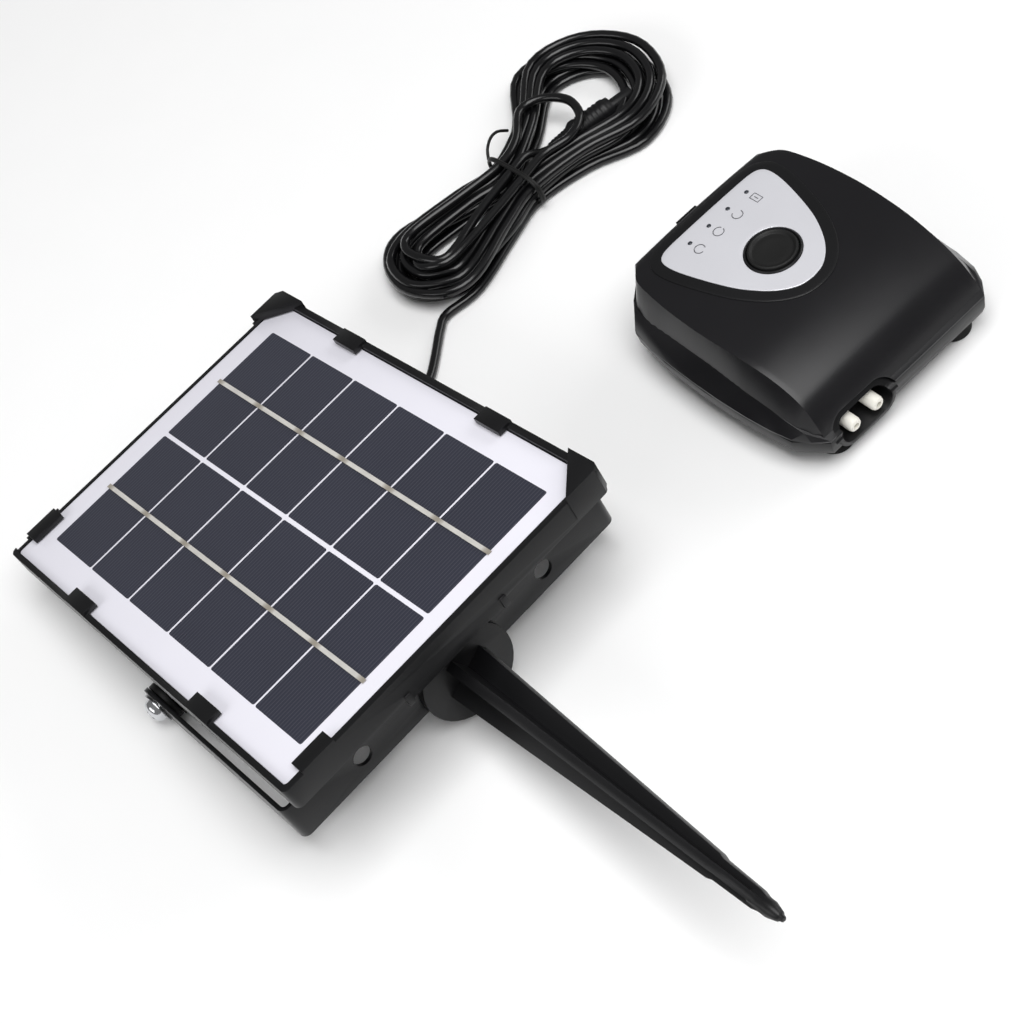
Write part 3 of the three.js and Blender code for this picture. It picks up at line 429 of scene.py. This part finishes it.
# Stations of the hood: place along the pump, height and half width, from the back to the front.
HOOD_LINE = [(-49.7, SEAM_Z, 29.4), (-47.8, 23.4, 29.8), (-45.8, 31.4, 29.4), (-43.8, 33.4, 30),
             (-39, 34.0, 34.4), (-33, 34.4, 36.2), (-20, 34.75, 37.8), (-5, 34.8, 38.4),
             (8, 34.5, 38), (18, 33.8, 37.4), (26, 32.4, 36.8), (33, 30.2, 36.4),
             (38.8, 27, 36.2), (43, 22.8, 36.3), (45.8, 18.6, 36.5), (47.8, SEAM_Z, 36.6)]
STATIONS = 60
COLUMNS = 32
# Plan of the seam, and the crease above it with its height, from the front to the back.
SEAM = [(49.2, 35.8), (44.5, 40), (38.5, 43), (30, 44.5), (20, 45.4), (8, 45.9), (-4, 45.9),
        (-16, 45.5), (-27, 44.8), (-38, 42.4), (-41.5, 39.4), (-50, 28.6)]
CREASE = [(46, 16.2, 36.6), (42, 18, 40), (35, 19.6, 40.6), (28, 21, 40.8), (15, 22.6, 41.2),
          (0, 23, 40.6), (-20, 23.1, 40.2), (-38, 23.4, 39.8), (-41.5, 23.2, 37), (-47.6, 22.5, 30.4)]


def read_at(table, x, column):
    """A value from a table of points that is ordered by falling x, read at x."""
    for high, low in zip(table, table[1:]):
        if high[0] >= x >= low[0]:
            share = (high[0] - x) / (high[0] - low[0])
            return high[column] + (low[column] - high[column]) * share
    return table[0][column] if x > table[0][0] else table[-1][column]


def hood_at(u):
    """Place along the hood's middle line and its half width there, for u from 0 to 1."""
    place = min(max(u, 0), 1) * (len(HOOD_LINE) - 1)
    i = min(int(place), len(HOOD_LINE) - 2)
    t = place - i
    last = len(HOOD_LINE) - 1
    before, a, b, after = (Vector(HOOD_LINE[max(0, min(last, i + k))]) for k in (-1, 0, 1, 2))
    return 0.5 * (2 * a + (b - before) * t + (2 * before - 5 * a + 4 * b - after) * t * t
                  + (3 * a - before - 3 * b + after) * t ** 3)


SAMPLES = 600
HOOD_SAMPLES = [hood_at(k / SAMPLES) for k in range(SAMPLES // 10, SAMPLES + 1)]


def skin(x, y):
    """Height of the hood's skin over a point of its top, with its crown."""
    spot = min(HOOD_SAMPLES, key=lambda sample: abs(sample.x - x))
    return spot.y + CROWN * (1 - min(1.0, abs(y) / spot.z) ** 2)


def drawn(name, points, edges=(), faces=()):
    """A new piece from its points."""
    deselect()
    mesh = bpy.data.meshes.new(name)
    mesh.from_pydata(points, edges, faces)
    piece = bpy.data.objects.new(name, mesh)
    bpy.context.scene.collection.objects.link(piece)
    return piece


def pump_piece(name):
    """Puts the piece just made, in the pump's own millimetres, into its place."""
    piece = bpy.context.object
    piece.name = name
    piece.data.transform(PUMP_PLACE)
    return piece


def inside_out_fixed(piece):
    edit(piece, (bpy.ops.mesh.remove_doubles, {"threshold": 0.0001}),
         (bpy.ops.mesh.normals_make_consistent, {"inside": False}))


deselect()
bpy.ops.mesh.primitive_grid_add(x_subdivisions=STATIONS, y_subdivisions=COLUMNS, size=2)
hood = bpy.context.object
for vertex in hood.data.vertices:
    spot = hood_at((vertex.co.x + 1) / 2)
    share = vertex.co.y
    vertex.co = (spot.x, share * spot.z, spot.y + CROWN * (1 - share ** 2))
bpy.ops.object.mode_set(mode="EDIT")
bpy.ops.mesh.select_all(action="DESELECT")
for side in (-1, 1):
    mesh = bmesh.from_edit_mesh(hood.data)
    rim = [e for e in mesh.edges if e.is_boundary and all(v.co.y * side > 20 for v in e.verts)]
    for element in [*mesh.verts, *mesh.edges, *mesh.faces]:
        element.select_set(False)
    for edge in rim:
        edge.select_set(True)
    bmesh.update_edit_mesh(hood.data)
    bpy.ops.mesh.extrude_region_move(TRANSFORM_OT_translate={"value": (0, 0, -0.01)})
    mesh = bmesh.from_edit_mesh(hood.data)
    for vertex in mesh.verts:
        if vertex.select:
            top, half = vertex.co.z, abs(vertex.co.y)
            crease_z, crease_half = (read_at(CREASE, vertex.co.x, column) for column in (1, 2))
            slope = (crease_half - half) / max(top - crease_z, 2.0)
            widest = read_at(SEAM, vertex.co.x, 1) - 0.9
            foot = max(half, min(half + slope * (top - SEAM_Z), widest))
            vertex.co = (vertex.co.x, side * foot, SEAM_Z)
    bmesh.update_edit_mesh(hood.data)
bpy.ops.object.mode_set(mode="OBJECT")
inside_out_fixed(hood)
modify(hood, "wall", "SOLIDIFY", thickness=HOOD_WALL, offset=-1)


def cut_away(piece, cutter):
    """Takes one piece out of another, and removes the cutter."""
    pick(piece)
    modify(piece, "cut", "BOOLEAN", operation="DIFFERENCE", solver="EXACT", object=cutter)
    bpy.data.objects.remove(cutter, do_unlink=True)


OUTLET_Y, OUTLET_Z, OUTLET_HALF, OUTLET_ROUND = -19.8, 11.3, 6.7, 7.8
BUTTON_X, BUTTON_HOLE = -6.8, 9.15


def outlet_arch(x):
    """A cutter with the outline of the outlet recess, 20 mm long along the pump, centred at x."""
    deselect()
    bpy.ops.mesh.primitive_cylinder_add(radius=OUTLET_ROUND, depth=20, vertices=48)
    arch = bpy.context.object
    for vertex in arch.data.vertices:
        vertex.co = Matrix.Rotation(math.pi / 2, 3, "Y") @ vertex.co
        vertex.co.y += OUTLET_HALF if vertex.co.y > 0 else -OUTLET_HALF
        vertex.co += Vector((x, OUTLET_Y, OUTLET_Z))
    return arch


deselect()
bpy.ops.mesh.primitive_cylinder_add(radius=BUTTON_HOLE, depth=20, vertices=64,
                                    location=(BUTTON_X, 0, 36))
cut_away(hood, bpy.context.object)
cut_away(hood, outlet_arch(48))
round_edges(hood, 0.9, 3, 40)
bpy.ops.object.shade_smooth_by_angle(angle=math.radians(42))
pump_piece("pump_hood")
finished(hood, SATIN_SHELL, "pump", "satin_shell", "pump_upper_housing")
print("hood:", len(hood.data.polygons), "faces")

# %% [markdown]
# Below the hood's two long sides, the upper housing flares out to meet the seam. The flare is a
# broad slope that mirrors the sky, so it is made as its own smooth convex form: points along the
# seam, points along the crease above it, and the hull of them all.

# %% The flare
def hull_of(name, points):
    piece = drawn(name, points)
    edit(piece, (bpy.ops.mesh.convex_hull, {}), (bpy.ops.mesh.select_all, {"action": "SELECT"}),
         (bpy.ops.mesh.dissolve_limited, {"angle_limit": math.radians(0.6)}))
    return piece


flare_points = [(x, side * y, z) for side in (-1, 1) for x, y in SEAM for z in (SEAM_Z, SEAM_Z + 0.8)]
flare_points += [(x, side * y, z) for side in (-1, 1) for x, z, y in CREASE]
flare = hull_of("flare", flare_points)
deselect()
bpy.ops.mesh.primitive_cube_add(size=1, location=(3, 0, 16), scale=(78, 66, 30))
cut_away(flare, bpy.context.object)
cut_away(flare, outlet_arch(50))
round_edges(flare, 0.7, 3, 28)
bpy.ops.object.shade_smooth_by_angle(angle=math.radians(24))
pump_piece("pump_flare")
finished(flare, SATIN_SHELL, "pump", "satin_shell", "pump_upper_housing")
print("flare:", len(flare.data.polygons), "faces")

# %% [markdown]
# The label is a silver film shaped like a rounded shield, with a softly raised rim of the housing
# round it. Both follow the hood's skin: each is drawn in fine rows from its outline inwards to the
# button's hole, set on the skin and given its thickness.

# %% Label and its rim
LABEL_SIDE = [(-38.8, 0), (-38.8, 12), (-38.7, 19), (-38.0, 22.4), (-36.2, 24.4), (-33, 25.1),
              (-28, 24.7), (-21, 23.2), (-12, 20.7), (-5, 18.2), (1, 15.1), (5.5, 12), (9, 8.4),
              (11.3, 4.4), (12, 0)]
FILM_ROWS = 14


def shield(grow, steps=8):
    """Outline of the label, grown outwards, as points all the way round."""
    side = smooth_run([(x, y, 0) for x, y in LABEL_SIDE], steps)
    around = side + [Vector((p.x, -p.y, 0)) for p in reversed(side[1:-1])]
    grown = []
    for i, point in enumerate(around):
        tangent = around[(i + 1) % len(around)] - around[i - 1]
        out = Vector((-tangent.y, tangent.x, 0)).normalized()
        grown.append(point + out * grow)
    return grown


def film(name, outline, lift, thick, hole, material, slot, replaced=()):
    """A thin piece on the hood's skin, from its outline inwards to a round hole at the button."""
    count = len(outline)
    turns = [math.atan2(p.y, p.x - BUTTON_X) for p in outline]
    inner = [Vector((BUTTON_X + hole * math.cos(t), hole * math.sin(t), 0)) for t in turns]
    points = []
    for row in range(FILM_ROWS + 1):
        points += [inner[i].lerp(outline[i], row / FILM_ROWS) for i in range(count)]
    faces = [(r * count + i, r * count + (i + 1) % count, (r + 1) * count + (i + 1) % count,
              (r + 1) * count + i) for r in range(FILM_ROWS) for i in range(count)]
    piece = drawn(name, [(p.x, p.y, skin(p.x, p.y) + lift) for p in points], faces=faces)
    inside_out_fixed(piece)
    if sum(face.normal.z for face in piece.data.polygons) < 0:
        bpy.ops.object.mode_set(mode="EDIT")
        bpy.ops.mesh.flip_normals()
        bpy.ops.object.mode_set(mode="OBJECT")
    modify(piece, "body", "SOLIDIFY", thickness=thick, offset=-1)
    round_edges(piece, min(0.25, thick * 0.4), 2, 40)
    bpy.ops.object.shade_smooth_by_angle(angle=math.radians(40))
    pump_piece(name)
    return finished(piece, material, "pump", slot, *replaced)


RIM_WIDTH, LABEL_LIFT = 4.2, 0.56
film("label_rim", shield(RIM_WIDTH), 0.34, 0.8, BUTTON_HOLE, BLACK_PLASTIC, "black_plastic")
label = film("label_film", shield(0), LABEL_LIFT, 0.6, 10.1, SILVER_FILM, "silver_label",
             ("control_label",))
print("label:", len(label.data.polygons), "faces")

# %% [markdown]
# Along the label's back edge are four small lamps, each with a plain mark in front of it: three
# open rings and a little battery. The marks are thin raised lines of print.

# %% Lamps and marks
LAMP_X, MARK_X = -33.2, -28.4
LAMPS_Y = (-13.5, -4.5, 4.5, 13.5)
MARK_LINE = 0.16
# The three open rings: half of the gap in each, and the way the gap faces, in radians.
RINGS = ((0.5, 0.4), (0.25, 1.57), (0.9, 2.6))
RING_STEPS = 26


def mark(name, points):
    """A thin line of print on the label."""
    points = [Vector((x, y, skin(x, y) + LABEL_LIFT + 0.03)) for x, y in points]
    line = curve_piece(name, points, MARK_LINE, 1)
    pick(line)
    bpy.ops.object.convert(target="MESH")
    finished(pump_piece(name), PRINT, "pump", "black_plastic")


for number, y in enumerate(LAMPS_Y):
    deselect()
    bpy.ops.mesh.primitive_uv_sphere_add(radius=0.85, segments=20, ring_count=10,
                                         location=(LAMP_X, y, 0))
    lens = bpy.context.object
    bpy.ops.object.transform_apply(location=True)
    lift = skin(LAMP_X, y) + LABEL_LIFT
    for vertex in lens.data.vertices:
        vertex.co.z = vertex.co.z * 0.4 + lift
    bpy.ops.object.shade_smooth()
    pump_piece(f"lamp_{number + 1}")
    finished(lens, SMOKED_LENS, "pump", "lamp_lens")
    x = MARK_X
    if number < len(RINGS):
        gap, lean = RINGS[number]
        turns = [gap + k * (2 * math.pi - 2 * gap) / RING_STEPS for k in range(RING_STEPS + 1)]
        mark(f"mark_{number + 1}",
             [(x + 1.9 * math.cos(t + lean), y + 1.9 * math.sin(t + lean)) for t in turns])
    else:
        mark("mark_4", [(x - 2, y - 1.3), (x + 2, y - 1.3), (x + 2, y + 1.3), (x - 2, y + 1.3),
                        (x - 2, y - 1.3)])
        mark("mark_5", [(x - 0.9, y), (x + 0.9, y)])
print("lamps:", len(LAMPS_Y))


# %% [markdown]
# The round pieces are spun. A profile is drawn as a line of points from the axis outwards and
# back, and Spin turns it through a full circle. The button has a raised lip and a dished middle,
# the screws a domed head, and the feet are suction cups.

# %% Spun pieces
def spun(name, profile, place, steps):
    piece = drawn(name, [(r, 0, z) for r, z in profile],
                  edges=[(i, i + 1) for i in range(len(profile) - 1)])
    edit(piece, (bpy.ops.mesh.spin, {"steps": steps, "angle": 2 * math.pi, "center": (0, 0, 0),
                                     "axis": (0, 0, 1)}))
    inside_out_fixed(piece)
    bpy.ops.object.shade_smooth_by_angle(angle=math.radians(35))
    piece.data.transform(place)
    return piece


def pump_spot(x, y):
    return PUMP_PLACE @ Matrix.Translation((x, y, 0))


BUTTON = [(0, 32.45), (8.5, 32.45), (8.8, 32.75), (8.8, 36.5), (8.55, 37), (8.0, 37.15),
          (7.5, 36.95), (7.2, 36.55), (6.9, 36.4), (6.2, 36.5), (4, 36.3), (2, 36.2), (0, 36.15)]
COLLAR = [(9.12, 35.2), (9.12, 36.3), (9.3, 36.5), (9.6, 36.5), (9.95, 36.2), (9.95, 35.2),
          (9.12, 35.2)]
FOOT = [(0, 0.7), (2.5, 0.6), (4.6, 0.3), (5.4, 0.02), (6.2, 0.02), (6.35, 0.4), (6.0, 1.0),
        (4.6, 1.9), (3.5, 2.7), (3.2, 3.4), (3.3, 3.9), (4.3, 4.3), (4.4, 4.65), (0, 4.65)]
FOOT_X, FOOT_Y = 40, 28
SCREW = [(0, -18.9), (1.85, -18.9), (1.85, 0.3), (5.9, 0.3), (6.0, 0.5), (6.0, 1.1), (4.5, 1.25),
         (4.4, 1.7), (4.2, 2.6), (3.6, 3.5), (2.4, 4.15), (1.2, 4.4), (0, 4.45)]
PIVOT_X, PIVOT_Y, PIVOT_Z = -11, 70.7, -29.5
finished(spun("button", BUTTON, pump_spot(BUTTON_X, 0), 72), RUBBER, "button", "rubber",
         "power_button")
finished(spun("button_collar", COLLAR, pump_spot(BUTTON_X, 0), 72), BLACK_PLASTIC, "pump",
         "black_plastic")
feet = [(a * FOOT_X, b * FOOT_Y) for a, b in ((-1, -1), (-1, 1), (1, -1), (1, 1))]
for number, (x, y) in enumerate(feet):
    foot = spun(f"foot_{number + 1}", FOOT, pump_spot(x, y), 40)
    finished(foot, RUBBER, "pump", "rubber", f"suction_foot_{number + 1}")
for side, sign in (("left", -1), ("right", 1)):
    place = (PANEL_PLACE @ Matrix.Translation((PIVOT_X, sign * PIVOT_Y, PIVOT_Z))
             @ Matrix.Rotation(-sign * math.pi / 2, 4, "X"))
    screw = spun(f"pivot_screw_{side}_look", SCREW, place, 40)
    for quarter in (0, math.pi / 2):
        deselect()
        bpy.ops.mesh.primitive_cube_add(size=1, scale=(4.6, 0.9, 3), location=(0, 0, 4.6),
                                        rotation=(0, 0, quarter))
        slot_cut = bpy.context.object
        bpy.ops.object.transform_apply(location=True, rotation=True, scale=True)
        slot_cut.data.transform(place)
        cut_away(screw, slot_cut)
    finished(screw, BRIGHT_STEEL, "panel", "bright_steel", f"pivot_screw_{side}")
print("spun pieces:", 2 + len(feet) + 2)

# %% [markdown]
# The plug is a moulded barrel plug: a plain black barrel in front, a black grip with shallow ribs,
# and a tapered relief where the cord goes in. It lies in the eye of the hank.

# %% Plug
PLUG_PLACE = (KIT_PLACE @ Matrix.Translation((-67, 182, 5.2))
              @ Matrix.Rotation(math.radians(-11.5), 4, "Z") @ Matrix.Rotation(-math.pi / 2, 4, "X"))
grip = [(0, 0), (2.3, 0), (2.6, 0.6)]
for ring_number in range(5):
    start, radius = 1.6 + ring_number * 1.6, 2.6 + ring_number * 0.16
    grip += [(radius, start), (2.9 + ring_number * 0.16, start + 0.4),
             (2.9 + ring_number * 0.16, start + 1.0)]
grip += [(4.2, 10), (4.8, 11), (4.9, 12.2)]
for ring_number in range(6):
    start = 13 + ring_number * 2
    grip += [(4.9, start), (4.6, start + 0.5), (4.6, start + 1.1), (4.9, start + 1.6)]
grip += [(4.8, 26.4), (4.4, 27), (4.3, 28.4), (0, 28.4)]
SLEEVE = [(0, 28.0), (2.75, 28.0), (2.75, 37.8), (2.6, 38.2), (1.5, 38.2), (1.5, 30), (0, 30)]
plug_grip = finished(spun("plug_grip", grip, PLUG_PLACE, 40), BLACK_PLASTIC, "panel",
                     "black_plastic", "lead_plug")
plug_sleeve = finished(spun("plug_sleeve", SLEEVE, PLUG_PLACE, 32), BLACK_PLASTIC, "panel",
                       "black_plastic")

finished(lead, CORD_JACKET, "panel", "cord_jacket", "lead_tube", "lead_hank")

# %% [markdown]
# A twist tie holds the hank at its waist: a thin black wire in plastic, twice round the turns, with
# its twisted end standing out at one side.

# %% Tie
TIE_STEPS = 96
TIE_MIDDLE_Z, TIE_OVER, TIE_UNDER = 7.3, 7.1, 6.2
TIE_WIRE = 0.62 * MM
tie_points = []
for k in range(TIE_STEPS + 1):
    t = -math.pi / 2 - 0.6 + k / TIE_STEPS * 4 * math.pi
    reach_x = 14.3 if k < TIE_STEPS // 2 else 14.9
    cx, cz = math.cos(t), math.sin(t)
    lift = TIE_MIDDLE_Z + (abs(cz) ** 0.75) * math.copysign(TIE_OVER if cz > 0 else TIE_UNDER, cz)
    tie_points.append((HANK_X + (abs(cx) ** 0.55) * math.copysign(reach_x, cx),
                       WAIST_Y + 1.5 * (k / TIE_STEPS) - 0.6, max(0.75, lift)))
tail = [(HANK_X - 15.2, 163, 10), (HANK_X - 17.6, 165.6, 12.2), (HANK_X - 20.4, 170, 12.6),
        (HANK_X - 22.6, 175, 10.6), (HANK_X - 22.4, 179.4, 7.2)]
ties = []
for name, points in (("tie_wrap", tie_points), ("tie_tail", tail)):
    wire = curve_piece(name, [KIT_PLACE @ p for p in smooth_run(points, 3)], TIE_WIRE, 2)
    pick(wire)
    bpy.ops.object.convert(target="MESH")
    ties.append(bpy.context.object)
finished(ties[0], RUBBER, "panel", "cord_jacket", "hank_tie")
finished(ties[1], RUBBER, "panel", "cord_jacket")
print("tie faces:", len(ties[0].data.polygons))

# %% Studio
FLOOR_DROP = 0.0002
deselect()
bpy.ops.mesh.primitive_plane_add(size=12, location=(0, 0, -FLOOR_DROP))
floor = bpy.context.object
floor.name = "floor"
floor_finish = finish("pale floor", (0.93, 0.93, 0.93), 0.6, drift=0.005, bump=0.0)
floor.data.materials.append(floor_finish)
world = bpy.data.worlds.new("studio")
world.use_nodes = True
world.node_tree.nodes["Background"].inputs["Color"].default_value = (1, 1, 1, 1)
world.node_tree.nodes["Background"].inputs["Strength"].default_value = 0.22
bpy.context.scene.world = world


def soft_light(name, place, aim, size, power):
    data = bpy.data.lights.new(name, "AREA")
    data.shape = "RECTANGLE"
    data.size, data.size_y = size
    data.energy = power
    lamp = bpy.data.objects.new(name, data)
    bpy.context.scene.collection.objects.link(lamp)
    lamp.location = place
    lamp.rotation_euler = (Vector(aim) - Vector(place)).to_track_quat("-Z", "Y").to_euler()
    return lamp


soft_light("key", (0.45, 0.05, 1.5), (0.05, 0, 0), (0.9, 1.5), 23)
soft_light("left", (-0.1, -1.5, 0.9), (0, 0, 0), (1.4, 0.7), 8)
soft_light("right", (0.3, 1.5, 0.8), (0, 0.1, 0), (1.2, 0.6), 7)
scene = bpy.context.scene
scene.view_settings.view_transform = "Standard"
scene.view_settings.look = "None"
